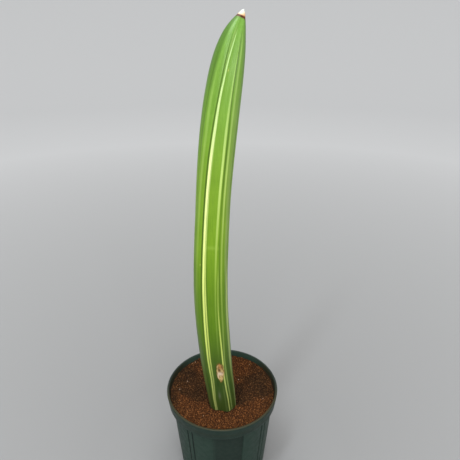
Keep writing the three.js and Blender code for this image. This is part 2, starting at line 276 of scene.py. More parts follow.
# Camera: its place, how far it looks down in radians, and its focal length in the photo's pixels
CAMERA_PLACE = (8.48, -380.4, 476.24)
CAMERA_PITCH = 0.44886
FOCAL_LENGTH = 461
PHOTO_WIDTH = 460
SENSOR_WIDTH = 36


# Helpers

def smooth(value, start, end):
    """An eased step from 0 at start to 1 at end."""
    t = np.clip((np.asarray(value, float) - start) / (end - start), 0, 1)
    return t * t * (3 - 2 * t)


def bell(value, middle, width):
    """1 at the middle, falling off softly on both sides."""
    return np.exp(-(((value - middle) / width) ** 2))


def around(angle, radius, height):
    """Points round the upright axis."""
    a = np.radians(angle)
    return np.stack(np.broadcast_arrays(radius * np.sin(a), -radius * np.cos(a), height), -1)


def chance(x, y, salt):
    """A fixed random number from 0 to 1 for each place."""
    wave = np.sin(x * 12.9898 + y * 78.233 + salt * 37.719) * 43758.5453
    return wave - np.floor(wave)


def soft_noise(x, y, salt):
    """Smooth noise from 0 to 1 on a grid of whole numbers."""
    x0, y0 = np.floor(x), np.floor(y)
    u, v = smooth(x - x0, 0, 1), smooth(y - y0, 0, 1)
    low = chance(x0, y0, salt) * (1 - u) + chance(x0 + 1, y0, salt) * u
    high = chance(x0, y0 + 1, salt) * (1 - u) + chance(x0 + 1, y0 + 1, salt) * u
    return low * (1 - v) + high * v


def arc(middle, radius, start, end, steps):
    """Radius and height along a rounded edge. Angles go from outwards, 0, to up, 90."""
    turn = np.radians(np.linspace(start, end, steps))
    return [(middle[0] + radius * c, middle[1] + radius * s) for c, s in zip(np.cos(turn), np.sin(turn))]


def loft(rings):
    """Points and faces of one closed surface through rings with equally many points, closed by a
    point at the middle of each end."""
    count = len(rings[0])
    points = np.concatenate([rings[0].mean(0)[None], *rings, rings[-1].mean(0)[None]])
    last = len(points) - 1
    this = np.arange(count)
    after = (this + 1) % count
    faces = [(0, 1 + b, 1 + a) for a, b in zip(this, after)]
    for i in range(len(rings) - 1):
        low, high = 1 + i * count, 1 + (i + 1) * count
        faces += zip(low + this, low + after, high + after, high + this)
    top = 1 + (len(rings) - 1) * count
    faces += [(top + a, top + b, last) for a, b in zip(this, after)]
    return points, faces


def make_piece(name, points, faces, material, facts=None, flat=False):
    """A mesh object from points in millimetres, with its facts."""
    mesh = bpy.data.meshes.new(name)
    mesh.from_pydata((np.asarray(points) * MM).tolist(), [], [list(map(int, f)) for f in faces])
    mesh.validate()
    for fact, values in (facts or {}).items():
        attribute = mesh.attributes.new(fact, "FLOAT", "POINT")
        attribute.data.foreach_set("value", np.asarray(values, np.float32))
    mesh.polygons.foreach_set("use_smooth", [not flat] * len(mesh.polygons))
    mesh.materials.append(material)
    piece = bpy.data.objects.new(name, mesh)
    bpy.context.scene.collection.objects.link(piece)
    return piece


def settle(piece, slot, *nodes):
    """Ties a piece to the part and hides the imported solids it stands for; the slot is not used."""
    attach(piece, "root")
    if nodes:
        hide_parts(*nodes)


# Materials

class Look:
    """A material built from nodes."""

    def __init__(self, name, **shine):
        self.material = bpy.data.materials.new(name)
        self.material.use_nodes = True
        self.tree = self.material.node_tree
        self.shader = self.tree.nodes["Principled BSDF"]
        for socket, value in shine.items():
            self.shader.inputs[socket.replace("_", " ")].default_value = value
        self.place = self.node("ShaderNodeTexCoord").outputs["Object"]

    def node(self, kind, **settings):
        made = self.tree.nodes.new(kind)
        for name, value in settings.items():
            setattr(made, name, value)
        return made

    def put(self, socket, value):
        if isinstance(value, bpy.types.NodeSocket):
            self.tree.links.new(value, socket)
        elif isinstance(value, (tuple, list)) and socket.type == "RGBA":
            socket.default_value = (*value, 1)
        else:
            socket.default_value = value

    def math(self, operation, a, b):
        made = self.node("ShaderNodeMath", operation=operation)
        self.put(made.inputs[0], a)
        self.put(made.inputs[1], b)
        return made.outputs[0]

    def span(self, value, start, end, low=0.0, high=1.0, curve="SMOOTHSTEP"):
        """Turns a value that goes from start to end into one from low to high."""
        made = self.node("ShaderNodeMapRange", interpolation_type=curve)
        for socket, number in zip(made.inputs, (value, start, end, low, high)):
            self.put(socket, number)
        return made.outputs[0]

    def mix(self, share, colour, other, blend="MIX"):
        """A colour with a share of another laid over it, or multiplied into it."""
        made = self.node("ShaderNodeMix", data_type="RGBA", blend_type=blend)
        self.put(made.inputs[0], share)
        self.put(made.inputs[6], colour)
        self.put(made.inputs[7], other)
        return made.outputs[2]

    def stops(self, value, low, high, colours):
        """Colours spread over a span of a value, as (place, colour) pairs in that value's units."""
        ramp = self.node("ShaderNodeValToRGB")
        self.put(ramp.inputs[0], self.span(value, low, high, curve="LINEAR"))
        elements = ramp.color_ramp.elements
        while len(elements) < len(colours):
            elements.new(0.5)
        for element, (place, colour) in zip(elements, colours):
            element.position = (place - low) / (high - low)
            element.color = (*colour, 1)
        return ramp.outputs[0]

    def fact(self, name, strength=1.0):
        """A fact of the mesh, weakened or not."""
        value = self.node("ShaderNodeAttribute", attribute_name=name).outputs["Fac"]
        return value if strength == 1 else self.math("MULTIPLY", value, strength)

    def height(self):
        """The height in millimetres."""
        split = self.node("ShaderNodeSeparateXYZ")
        self.put(split.inputs[0], self.place)
        return self.math("MULTIPLY", split.outputs[2], 1 / MM)

    def noise(self, size, detail=3.0, stretch=1.0, rough=0.5):
        """Noise from 0 to 1 with spots of about a size in millimetres, drawn out upwards."""
        scale = 1 / MM / size
        scaled = self.node("ShaderNodeMapping")
        self.put(scaled.inputs[0], self.place)
        scaled.inputs["Scale"].default_value = (scale, scale, scale / stretch)
        made = self.node("ShaderNodeTexNoise")
        self.put(made.inputs["Vector"], scaled.outputs[0])
        made.inputs["Scale"].default_value = 1.0
        made.inputs["Detail"].default_value = detail
        made.inputs["Roughness"].default_value = rough
        return made.outputs["Fac"]

    def finish(self, colour, roughness, relief, depth):
        """Sets the colour, the roughness and a relief of a depth in millimetres."""
        self.put(self.shader.inputs["Base Color"], colour)
        self.put(self.shader.inputs["Roughness"], roughness)
        bump = self.node("ShaderNodeBump")
        bump.inputs["Distance"].default_value = depth * MM
        self.put(bump.inputs["Height"], relief)
        self.put(self.shader.inputs["Normal"], bump.outputs[0])
        return self.material


def wound_colour(look):
    """Tan with brown flecks, orange in the middle of its top, and with a pale belt and dark pits."""
    flecks = look.noise(2.6, detail=4, stretch=1.5, rough=0.6)
    colour = look.mix(look.span(flecks, 0.42, 0.6), (0.3, 0.18, 0.055), (0.57, 0.41, 0.16))
    colour = look.mix(look.fact("scar_top"), colour, (0.45, 0.2, 0.055))
    colour = look.mix(look.fact("scar_pale"), colour, (0.62, 0.475, 0.33))
    colour = look.mix(look.span(flecks, 0.36, 0.46, 0.55, 0), colour, (0.16, 0.09, 0.03))
    return look.mix(look.fact("scar_dark"), colour, (0.12, 0.062, 0.018))


def leaf_look():
    look = Look("leaf_skin", Specular_IOR_Level=0.3)
    height = look.height()
    mottle = look.noise(16, detail=4, stretch=1.4)
    grain = look.noise(0.9, stretch=34)
    bands = look.noise(7, stretch=0.5)
    green = look.stops(height, *LEAF_SPAN, GREENS)
    green = look.mix(look.span(mottle, 0.4, 0.7, high=0.4), green, (0.75, 0.82, 0.55), "MULTIPLY")
    green = look.mix(look.span(grain, 0.4, 0.7, high=0.35), green, (0.7, 0.78, 0.6), "MULTIPLY")
    green = look.mix(look.span(bands, 0.5, 0.75, high=0.3), green, (1.2, 1.13, 1.3), "MULTIPLY")
    cream = look.stops(height, *LEAF_SPAN, CREAMS)
    cream = look.mix(look.span(grain, 0.45, 0.65, high=0.4), cream, (0.72, 0.76, 0.6), "MULTIPLY")
    # Pale stripes of the leaf, and painted highlights on the left flank
    colour = look.mix(look.fact("light"), green, look.stops(height, *LEAF_SPAN, PALES))
    colour = look.mix(look.fact("bright"), colour, cream)
    colour = look.mix(look.fact("dark"), colour, (0.055, 0.115, 0.006))
    # Painted sheen of reflected light
    colour = look.mix(look.fact("painted_sheen"), colour, (0.45, 0.55, 0.2))
    # Darker flanks and spots: partly the leaf's own darker green, partly painted shade
    colour = look.mix(look.fact("shade", 0.75), colour, (0.35, 0.42, 0.3), "MULTIPLY")
    colour = look.mix(look.fact("scar_rim"), colour, (0.127, 0.085, 0.009))
    colour = look.mix(look.fact("scar"), colour, wound_colour(look))
    colour = look.mix(look.fact("speck"), colour, (0.5, 0.46, 0.12))
    colour = look.mix(look.fact("smudge", 0.7), colour, (0.15, 0.16, 0.1))
    colour = look.mix(look.fact("point"), colour, look.stops(height, *POINT_SPAN, POINT_COLOURS))
    colour = look.mix(look.fact("ring"), colour, (0.075, 0.014, 0.003))
    roughness = look.math("ADD", look.span(mottle, 0.3, 0.7, 0.3, 0.4), look.fact("scar", 0.35))
    fibres = look.noise(0.9, detail=2, stretch=40)
    relief = look.math("ADD", fibres, look.math("MULTIPLY", mottle, 0.5))
    return look.finish(colour, roughness, relief, depth=0.1)


def pot_look():
    look = Look("pot_plastic", Specular_IOR_Level=0.24)
    height = look.height()
    cloud = look.noise(28, detail=4, stretch=1.5)
    colour = look.mix(look.span(cloud, 0.35, 0.65), (0.0175, 0.0395, 0.0285), (0.0215, 0.0455, 0.033))
    dust_spots = look.span(look.noise(3, detail=5), 0.52, 0.75)
    dust = look.math("MULTIPLY", dust_spots, look.span(height, 70, POT_HEIGHT))
    colour = look.mix(look.math("MULTIPLY", dust, 0.06), colour, (0.07, 0.05, 0.033))
    # Lip paler in front: partly dust, partly a painted highlight
    colour = look.mix(look.fact("lip", 0.7), colour, (0.044, 0.031, 0.006))
    # Painted shade on the lip at the sides and back
    colour = look.mix(look.fact("lip_shade", 0.65), colour, (0.008, 0.008, 0.004))
    # Painted light: the inside of the rim is paler at the back, where light falls on it
    colour = look.mix(look.fact("inner"), colour, (0.038, 0.074, 0.053))
    colour = look.mix(look.fact("inner_dust"), colour, (0.031, 0.033, 0.0165))
    # Painted shade: the band above the body is darker
    band = look.span(height, BODY_TOP_HEIGHT, BODY_TOP_HEIGHT + 2, high=0.28)
    colour = look.mix(band, colour, (0, 0, 0))
    # Painted shade in the pressed-in panels
    colour = look.mix(look.fact("painted_panel_shade", 0.43), colour, (0, 0, 0))
    # Painted shade in the grooves
    colour = look.mix(look.fact("painted_groove_shade", 0.9), colour, (0.002, 0.003, 0.003))
    roughness = look.span(look.noise(5, detail=4), 0.3, 0.7, 0.46, 0.6)
    waves = look.math("MULTIPLY", look.noise(9, detail=2), 1.5)
    relief = look.math("ADD", look.noise(0.6, detail=2), waves)
    return look.finish(colour, roughness, relief, depth=0.03)


def soil_look(name, dark, light, fleck):
    look = Look(name, Specular_IOR_Level=0.12)
    tone = look.fact("tone")
    colour = look.mix(tone, dark, light)
    colour = look.mix(look.span(look.noise(1.3), 0.45, 0.7, high=0.6), colour, fleck)
    # Darker patches and painted shade, from the soil's facts
    colour = look.mix(look.fact("patches_and_shade"), colour, (0.42, 0.53, 0.63), "MULTIPLY")
    roughness = look.span(tone, 0, 1, 0.95, 0.75)
    return look.finish(colour, roughness, look.noise(0.5, detail=4), depth=0.25)


# Pot

def from_panel(angle):
    """The angle from the middle of the nearest panel."""
    return (angle - PANEL_MIDDLE + PANEL_PITCH / 2) % PANEL_PITCH - PANEL_PITCH / 2


def between(value, left_edge, right_edge):
    """1 between two soft edges and 0 outside them."""
    return np.minimum(smooth(value, *left_edge), 1 - smooth(value, *right_edge))


def panel_press(angle):
    """How far the panels take the wall in."""
    return PANEL_DEPTH * between(from_panel(angle), PANEL_LEFT_EDGE, PANEL_RIGHT_EDGE)


def groove_press(angle):
    """How far the grooves take the wall in."""
    away = np.abs(np.abs(from_panel(angle)) - (PANEL_PITCH / 2 - GROOVE_OFFSET))
    return GROOVE_DEPTH * (1 - smooth(away, *GROOVE_EDGE))


def pot_angles():
    """Angles round the pot, close together where the wall bends."""
    coarse = np.arange(0, 360, 1.5)
    groove = np.arange(-1.2, 1.21, 0.2)
    bends = np.concatenate([
        np.arange(-18.3, -13.6, 0.6),
        np.arange(15.1, 17.0, 0.25),
        PANEL_PITCH / 2 - GROOVE_OFFSET + groove,
        -PANEL_PITCH / 2 + GROOVE_OFFSET + groove,
    ])
    fine = np.concatenate([PANEL_MIDDLE + PANEL_PITCH * k + bends for k in range(PANEL_COUNT)]) % 360
    angles = np.unique(np.round(np.concatenate([coarse, fine]), 3))
    smallest_gap = 0.12
    return angles[np.diff(angles, append=angles[0] + 360) > smallest_gap]


def body_radius(height):
    """The outer radius of the tapered body between its panels."""
    return BODY_TOP_RADIUS - BODY_TAPER * (POT_HEIGHT - height - BODY_TOP_DEPTH)


def cavity_profile(offset, top):
    """Radius, height and share of the panels' press down the inside of the pot, drawn in by an
    offset all over."""
    band = BAND_FOOT_RADIUS - WALL - offset
    step = POT_HEIGHT - BAND_DEPTH + WALL / 2 + offset
    body = POT_HEIGHT - BODY_TOP_DEPTH + WALL / 2 + offset
    floor = FLOOR + offset
    flare = BODY_TAPER * BAND_DEPTH / (POT_HEIGHT - step)
    rows = [(band + (h - step) * flare, h, 0) for h in np.linspace(top, step, 5)]
    rows += [(band - 0.4, step - 0.3, 0.1), (BODY_TOP_RADIUS - WALL - offset, body, 1)]
    rows += [(body_radius(h) - WALL - offset, h, 1) for h in np.linspace(body - 4, floor + 1, 14)]
    rows.append((body_radius(floor) - WALL - offset - 0.8, floor, 1))
    return rows


def pot_profile():
    """Radius, height and shares of the panels' and the grooves' press, from the middle of the
    underside up the outside, over the lip and down the inside."""
    foot = body_radius(0)
    body_top = BODY_TOP_HEIGHT
    band_foot = POT_HEIGHT - BAND_DEPTH
    lip_height = POT_HEIGHT - LIP_ROUNDING
    rows = [(foot - 8, 0.6, 0, 0), (foot - 6, 0.2, 0.6, 0), (foot - FOOT_CHAMFER - 2, 0, 1, 0.6)]
    rows += [(r, h, 1, 1) for r, h in arc((foot - FOOT_CHAMFER, FOOT_CHAMFER), FOOT_CHAMFER, -90, 0, 5)]
    rows += [(body_radius(h), h, 1, 1) for h in np.linspace(5, body_top - 1.5, 22)]
    rows += [
        (BODY_TOP_RADIUS, body_top - 0.5, 1, 1),
        (BODY_TOP_RADIUS + 0.2, body_top, 0.97, 0.8),
        (BODY_TOP_RADIUS + 1.4, body_top + 0.8, 0.55, 0.3),
        (BAND_FOOT_RADIUS - 0.5, band_foot - 0.25, 0.1, 0),
        (BAND_FOOT_RADIUS - 0.1, band_foot, 0, 0),
        (BAND_FOOT_RADIUS + 0.06, band_foot + 0.4, 0, 0),
    ]
    for share in (0.2, 0.4, 0.6, 0.8):
        radius = BAND_FOOT_RADIUS + share * (RIM_RADIUS - BAND_FOOT_RADIUS)
        rows.append((radius, band_foot + share * (lip_height - band_foot), 0, 0))
    outer_lip = arc((RIM_RADIUS - LIP_ROUNDING, lip_height), LIP_ROUNDING, 0, 90, 5)
    inside = BAND_FOOT_RADIUS - WALL + BAND_DEPTH * BODY_TAPER
    inner_lip = arc((inside + LIP_ROUNDING, lip_height), LIP_ROUNDING, 90, 180, 5)
    rows += [(r, h, 0, 0) for r, h in outer_lip + inner_lip]
    rows += [(r, h, press, 0) for r, h, press in cavity_profile(0, POT_HEIGHT - 2)]
    return rows


def pot_facts(points):
    """The facts of the pot: its lip is paler in front, partly dust and partly a painted highlight, and
    has painted shade elsewhere; the inside of its rim has painted light at the back and is dusty
    elsewhere; and painted shade darkens its panels and grooves."""
    x, y, height = points.T
    radius = np.hypot(x, y)
    turn = np.degrees(np.arctan2(x, -y))
    on_body = smooth(-height, -BODY_TOP_HEIGHT, 1 - BODY_TOP_HEIGHT)
    on_body *= radius > body_radius(height) - PANEL_DEPTH - 0.2
    lip = smooth(height, POT_HEIGHT - 0.7, POT_HEIGHT - 0.1)
    inside = smooth(height, POT_HEIGHT - 10, POT_HEIGHT - 6)
    inside *= 1 - smooth(height, POT_HEIGHT - 0.7, POT_HEIGHT - 0.2)
    inside *= radius < RIM_RADIUS - WALL / 2
    in_front = 1 - smooth(y, -22, 12)
    behind = smooth(y, 27, 46)
    return {
        # Lip paler in front: partly dust, partly a painted highlight
        "lip": lip * in_front,
        # Painted shade on the lip at the sides and back
        "lip_shade": lip * (1 - in_front) * (1 - 0.5 * behind),
        # Painted light on the inside of the rim at the back
        "inner": inside * behind,
        "inner_dust": inside * (1 - behind),
        # Painted shade in the grooves
        "painted_groove_shade": groove_press(turn) / GROOVE_DEPTH * on_body,
        # Painted shade in the pressed-in panels
        "painted_panel_shade": between(from_panel(turn), PANEL_LEFT_SHADE, PANEL_RIGHT_EDGE) * on_body,
    }


def drill(piece, place):
    """Cuts an upright drain hole through the floor."""
    bpy.ops.mesh.primitive_cylinder_add(
        vertices=48, radius=DRAIN_RADIUS * MM, depth=DRAIN_CUTTER * MM, location=place * MM
    )
    cutter = bpy.context.object
    cut = piece.modifiers.new("drain", "BOOLEAN")
    cut.operation, cut.solver, cut.object = "DIFFERENCE", "EXACT", cutter
    bpy.context.view_layer.objects.active = piece
    bpy.ops.object.modifier_apply(modifier=cut.name)
    bpy.data.objects.remove(cutter)


def pot_piece():
    angles = pot_angles()
    panels, grooves = panel_press(angles), groove_press(angles)
    rings = []
    for radius, height, panel, groove in pot_profile():
        rings.append(around(angles, radius - panels * panel - grooves * groove, height))
    points, faces = loft(rings)
    piece = make_piece("pot_shell", points, faces, pot_look(), pot_facts(points))
    for i in range(DRAIN_HOLES):
        drill(piece, around(PANEL_MIDDLE + 360 / DRAIN_HOLES * (i + 0.5), DRAIN_RING, 0))
    settle(piece, "pot", "pot")


# Leaf

def along_leaf(column, height):
    """A smooth curve through one column of the leaf's course, read at each height."""
    height = np.asarray(height, float)
    stations, values = COURSE[:, HEIGHT], COURSE[:, column]
    k = np.clip(np.searchsorted(stations, height) - 1, 0, len(stations) - 2)
    before = np.maximum(np.arange(len(stations)) - 1, 0)
    after = np.minimum(np.arange(len(stations)) + 1, len(stations) - 1)
    slope = (values[after] - values[before]) / (stations[after] - stations[before])
    span = stations[k + 1] - stations[k]
    t = (height - stations[k]) / span
    return (
        (2 * t**3 - 3 * t**2 + 1) * values[k]
        + (t**3 - 2 * t**2 + t) * span * slope[k]
        + (3 * t**2 - 2 * t**3) * values[k + 1]
        + (t**3 - t**2) * span * slope[k + 1]
    )


def leaf_half_width(height):
    """Half the leaf's width: it narrows to the hard point above, and a little underground."""
    full = along_leaf(HALF, height)
    up = np.clip((height - POINT_BASE) / (LEAF_APEX - POINT_BASE), 0, 1)
    buried = np.clip((SOIL_HEIGHT - height) / (SOIL_HEIGHT - LEAF_BASE), 0, 1)
    to_point = np.exp(np.minimum(0, height - POINT_BASE) / LEAF_ROUNDING)
    below = (full - (full - POINT_HALF) * to_point) * (1 - BURIED_TAPER * buried**BURIED_POWER)
    return np.where(height >= POINT_BASE, POINT_HALF * (1 - up) ** POINT_FULLNESS, below)


def standing_angle(angle, height):
    """The angle at which a nominal angle of the section really stands, before the leaf's turn: the
    channel narrows up the leaf, and the rest of the section spreads to fill the round."""
    half = along_leaf(CHANNEL, height)
    size = np.abs(angle)
    outside = half + (size - FACE) * (180 - half) / (180 - FACE)
    return np.where(size < FACE, angle * half / FACE, np.sign(angle) * outside)


def oval_share(angle):
    """The distance from the middle of the section's oval to its edge, as a share of half its width."""
    return 1 / np.hypot(np.sin(np.radians(angle)), np.cos(np.radians(angle)) / THICKNESS)


def section_share(angle, height):
    """The section as a share of half its width, with rounded grooves and furrows."""
    stands = standing_angle(angle, height)
    oval = oval_share(stands)
    half = along_leaf(CHANNEL, height)
    hollow = HOLLOW * np.cos(np.radians(np.clip(stands, -half, half)) * 90 / half)
    face_depth = oval_share(half) * np.cos(np.radians(half)) - hollow
    face = face_depth / np.cos(np.radians(np.clip(stands, -60, 60)))
    share = np.where(np.abs(angle) < FACE, face, oval)
    nearest = np.round(angle / FACE)
    away = (angle - FACE * nearest) / FURROW_WIDTH
    depth = np.where(nearest == 0, 0, np.where(np.abs(nearest) == 1, FACE_GROOVE, FURROW))
    share = share - depth * np.exp(-away * away)
    return np.where(height >= POINT_BASE, oval, share)


def leaf_surface(angle, height, offset=0.0):
    """Points on the leaf's skin at nominal angles and heights, or off it by an offset."""
    angle, height = np.broadcast_arrays(np.asarray(angle, float), np.asarray(height, float))
    course = lambda at: np.stack([along_leaf(X, at), along_leaf(Y, at), at], -1)
    middle = course(height)
    along = course(height + COURSE_STEP) - middle
    along /= np.linalg.norm(along, axis=-1, keepdims=True)
    side = np.array([1.0, 0, 0]) - along * along[..., :1]
    side /= np.linalg.norm(side, axis=-1, keepdims=True)
    front = np.cross(side, along)
    radius = leaf_half_width(height) * section_share(angle, height) + offset
    turned = np.radians(standing_angle(angle, height) + along_leaf(TURN, height))
    aside, ahead = radius * np.sin(turned), radius * np.cos(turned)
    return middle + aside[..., None] * side + ahead[..., None] * front


def stripe(angle, height, stations, softness):
    """The strength of one stripe, with edges that soften over a width in degrees."""
    heights, middles, halves, strengths = np.array(stations[::-1], float).T
    middle, half = np.interp(height, heights, middles), np.interp(height, heights, halves)
    edge = np.abs(angle - middle)
    return np.interp(height, heights, strengths) * (1 - smooth(edge, half - softness, half + softness))


def stripes(angle, height, table, softness):
    """The strongest of a table's stripes at each point."""
    return np.max([stripe(angle, height, stations, softness) for stations in table], 0)


def spots(angle, height, table):
    """A table's soft spots added up at each point."""
    total = 0
    for strength, at_angle, at_height, width, tallness in table:
        off = ((angle - at_angle) / width) ** 2 + ((height - at_height) / tallness) ** 2
        total = total + strength * np.exp(-off)
    return total


def wound_shape(angle, height, foot, top):
    """The share of the way up a wound from foot to top, how far the wound reaches to the sides
    there, and how far from its middle each point is."""
    share = (height - foot) / (top - foot)
    wobble = 0.26 * (soft_noise(height / 2.3, angle / 8, 5) - 0.5)
    reach = np.interp(share, *zip(*WOUND_REACH)) + wobble
    away = np.abs(angle - np.interp(share, *zip(*WOUND_MIDDLE))) / WOUND_HALF_WIDTH
    return share, reach, away


def wound_marks(angle, height):
    """The facts of the healed wound, blunt above and pointed below, and its relief in millimetres."""
    share, reach, away = wound_shape(angle, height, *WOUND)
    wound = (share > 0) * (share < 1) * (1 - smooth(away, reach - 0.1, reach + 0.06))
    rim_share, rim_reach, rim_away = wound_shape(angle, height, *WOUND_RIM)
    rim_reach = WOUND_RIM_REACH * rim_reach
    rim = (rim_share > 0) * (rim_share < 1) * (1 - smooth(rim_away, rim_reach - 0.08, rim_reach + 0.08))
    pale = wound * np.clip(spots(angle, height, WOUND_PALE), 0, 1)
    pits = wound * np.clip(spots(angle, height, WOUND_PITS), 0, 1)
    upper = wound * smooth(height, 149, 153.5) * bell(angle, 27, 8) * 0.9
    ridge = bell(away, reach, 0.13) * smooth(share, -0.04, 0.05) * (1 - smooth(share, 0.99, 1.06))
    crumbs = wound * (soft_noise(angle / 4, height / 1.5, 9) - 0.5)
    relief = 0.22 * ridge - 0.25 * wound - 0.5 * pits + 0.3 * crumbs
    facts = {
        "scar": wound, "scar_pale": pale, "scar_dark": pits, "scar_top": upper, "scar_rim": 0.75 * rim,
    }
    return facts, relief


def leaf_facts(angle, height):
    """Stripes, furrows, spots, painted shade and sheen, and the hard point, as facts of the leaf's skin.
    """
    bright = stripes(angle, height, BRIGHT, softness=1.1)
    dark = stripes(angle, height, DARK, softness=1.1)
    below_top = 1 - smooth(height, 430, 455)
    for line in FURROW_LINES:
        dark = np.maximum(dark, 0.35 * (1 - smooth(np.abs(angle - line), 0.8, 3.5)) * below_top)
    pale_belt = 0.22 * bell(height, 286, 1.6) * smooth(angle, -26, -18) * (1 - smooth(angle, 33, 38))
    broken = 0.4 + 0.6 * soft_noise(angle / 3, height / 2, 8)
    return {
        "bright": bright,
        "dark": dark * (1 - bright),
        "light": np.maximum(stripes(angle, height, PALE_STRIPES_AND_HIGHLIGHTS, softness=1.8), pale_belt),
        "shade": np.maximum(
            stripes(angle, height, PAINTED_SHADE, softness=7), spots(angle, height, PAINTED_SHADE_SPOTS)
        ),
        "painted_sheen": stripes(angle, height, PAINTED_SHEEN, softness=3),
        "speck": spots(angle, height, YELLOW_SPECKS),
        "smudge": spots(angle, height, GREY_SMUDGE) * broken,
        "ring": np.clip(1.7 * bell(height, POINT_BASE - 0.4, 0.75), 0, 1),
        "point": smooth(height, POINT_BASE - 0.2, POINT_BASE + 0.2),
    }


def leaf_grid():
    """Nominal angles, closer together in front, and heights, closer together at the hard point."""
    front = np.arange(-64, 64.01, 1.0)
    back = np.linspace(64, 296, 106)[1:-1]
    angles = np.concatenate([front, np.where(back > 180, back - 360, back)])
    up_the_point = 1 - (1 - np.linspace(0, 1, 14)) ** 1.6
    heights = np.concatenate([
        np.linspace(LEAF_BASE, 90, 16)[:-1],
        np.linspace(90, 464, 316)[:-1],
        np.linspace(464, POINT_BASE - 0.3, 22),
        POINT_BASE + (LEAF_APEX - POINT_BASE - POINT_DROP) * up_the_point,
    ])
    return np.meshgrid(angles, heights)


def leaf_piece():
    angle, height = leaf_grid()
    wound_facts, wound_relief = wound_marks(angle, height)
    ripple = 0.16 * (soft_noise(angle / 11 + 40, height / 26, 2) - 0.5) * (height < 455)
    points, faces = loft(leaf_surface(angle, height, wound_relief + ripple))
    facts = {}
    for name, values in (leaf_facts(angle, height) | wound_facts).items():
        facts[name] = np.concatenate([[values[0, 0]], values.ravel(), [values[-1, 0]]])
    settle(make_piece("leaf_skin", points, faces, leaf_look(), facts), "leaf", "leaf")


# Soil

def hollow_depth(x, y):
    """How far the hollows take the soil down."""
    depths = []
    for middle_x, middle_y, across_x, across_y, depth in SOIL_HOLLOWS:
        away = ((x - middle_x) / across_x) ** 2 + ((y - middle_y) / across_y) ** 2
        depths.append(depth * np.exp(-away))
    return np.max(depths, 0)


def soil_surface(x, y):
    """The height of the bed of granules."""
    swell = 0.7 * np.sin(x / 17 + 0.6) * np.cos(y / 21 - 0.4)
    bumps = 0
    for salt, size in enumerate(BUMP_SIZES, 1):
        bumps = bumps + BUMP_HEIGHT * (soft_noise(x / size, y / size, salt) - 0.5)
    height, start, end = SOIL_RISE
    rise = height * smooth(np.hypot(x, y), start, end)
    return SOIL_HEIGHT + rise + swell + bumps - BED_DROP - hollow_depth(x, y)


def soil_patches_and_shade(x, y):
    """How dark the soil is, from 0 to 1: darker beside the leaf, with painted shade in the hollows
    and along the wall at the sides, not darkened in front and at the back, and with soft patches."""
    left = x < 0
    patches = soft_noise(x / 9 + 3, y / 7 + 5, 6) - 0.5
    front_edge = np.where(left, 0.5, 0.4) * (np.abs(x) - 20) - np.where(left, 19, 22)
    from_back = np.degrees(np.arctan2(np.abs(x), y)) - np.where(left, 25, 32)
    beside = smooth(y - front_edge + 8 * patches, -3, 7) * smooth(from_back + 20 * patches, 0, 32)
    # Painted shadow of the wall at the sides
    by_wall = smooth(np.hypot(x, y), 43, 53) * bell(y, -6, 22) * np.where(left, 0.9, 0.6)
    # Painted shade in the hollows
    return np.clip(np.maximum(0.85 * beside, by_wall) + 0.3 * patches + 0.2 * hollow_depth(x, y), 0, 1)


def soil_bed():
    """The fill: up along the leaf's hole, over the bumpy top and down inside the pot."""
    count = 360
    angles = np.linspace(-180, 180, count, endpoint=False)
    hole_heights = np.linspace(LEAF_BASE, SOIL_HEIGHT - 2, 10)
    rings = [leaf_surface(angles, np.full(count, h), CLEARANCE) for h in hole_heights]
    rings[0][:, 2] -= CLEARANCE
    inner = leaf_surface(angles, np.full(count, SOIL_HEIGHT), CLEARANCE)
    profile = cavity_profile(CLEARANCE, SOIL_HEIGHT + SOIL_RISE[0])
    wall_radius = profile[0][0]
    outer = around(angles, wall_radius, SOIL_HEIGHT)
    for share in np.linspace(0, 1, 54):
        ring = inner * (1 - share) + outer * share
        ring[:, 2] = soil_surface(ring[:, 0], ring[:, 1])
        rings.append(ring)
    for radius, height, press in profile[1:]:
        rings.append(around(angles, radius - panel_press(angles) * press, height))
    points, faces = loft(rings)
    x, y = points[:, 0], points[:, 1]
    facts = {"tone": 0.35 * soft_noise(x / 1.1, y / 1.1, 4), "patches_and_shade": soil_patches_and_shade(x, y)}
    look = soil_look("soil_dark", (0.02, 0.008, 0.003), (0.07, 0.026, 0.009), (0.033, 0.012, 0.004))
    settle(make_piece("soil_bed", points, faces, look, facts), "soil", "soil")


def ball(level):
    """Points and triangles of a round seed form for a granule, about 1 across."""
    bpy.ops.mesh.primitive_ico_sphere_add(subdivisions=level, radius=0.5)
    seed = bpy.context.object
    points = np.array([v.co for v in seed.data.vertices])
    faces = np.array([p.vertices for p in seed.data.polygons])
    bpy.data.objects.remove(seed)
    return points, faces


def leaf_outline():
    """The leaf's middle where it enters the soil, and its outline as bearing and distance from it."""
    count = 721
    outline = leaf_surface(np.linspace(-180, 180, count), np.full(count, SOIL_HEIGHT))[:, :2]
    middle = np.array([along_leaf(X, SOIL_HEIGHT), along_leaf(Y, SOIL_HEIGHT)])
    off = outline - middle
    bearing = np.arctan2(off[:, 1], off[:, 0])
    order = np.argsort(bearing)
    return middle, bearing[order], np.hypot(off[:, 0], off[:, 1])[order]


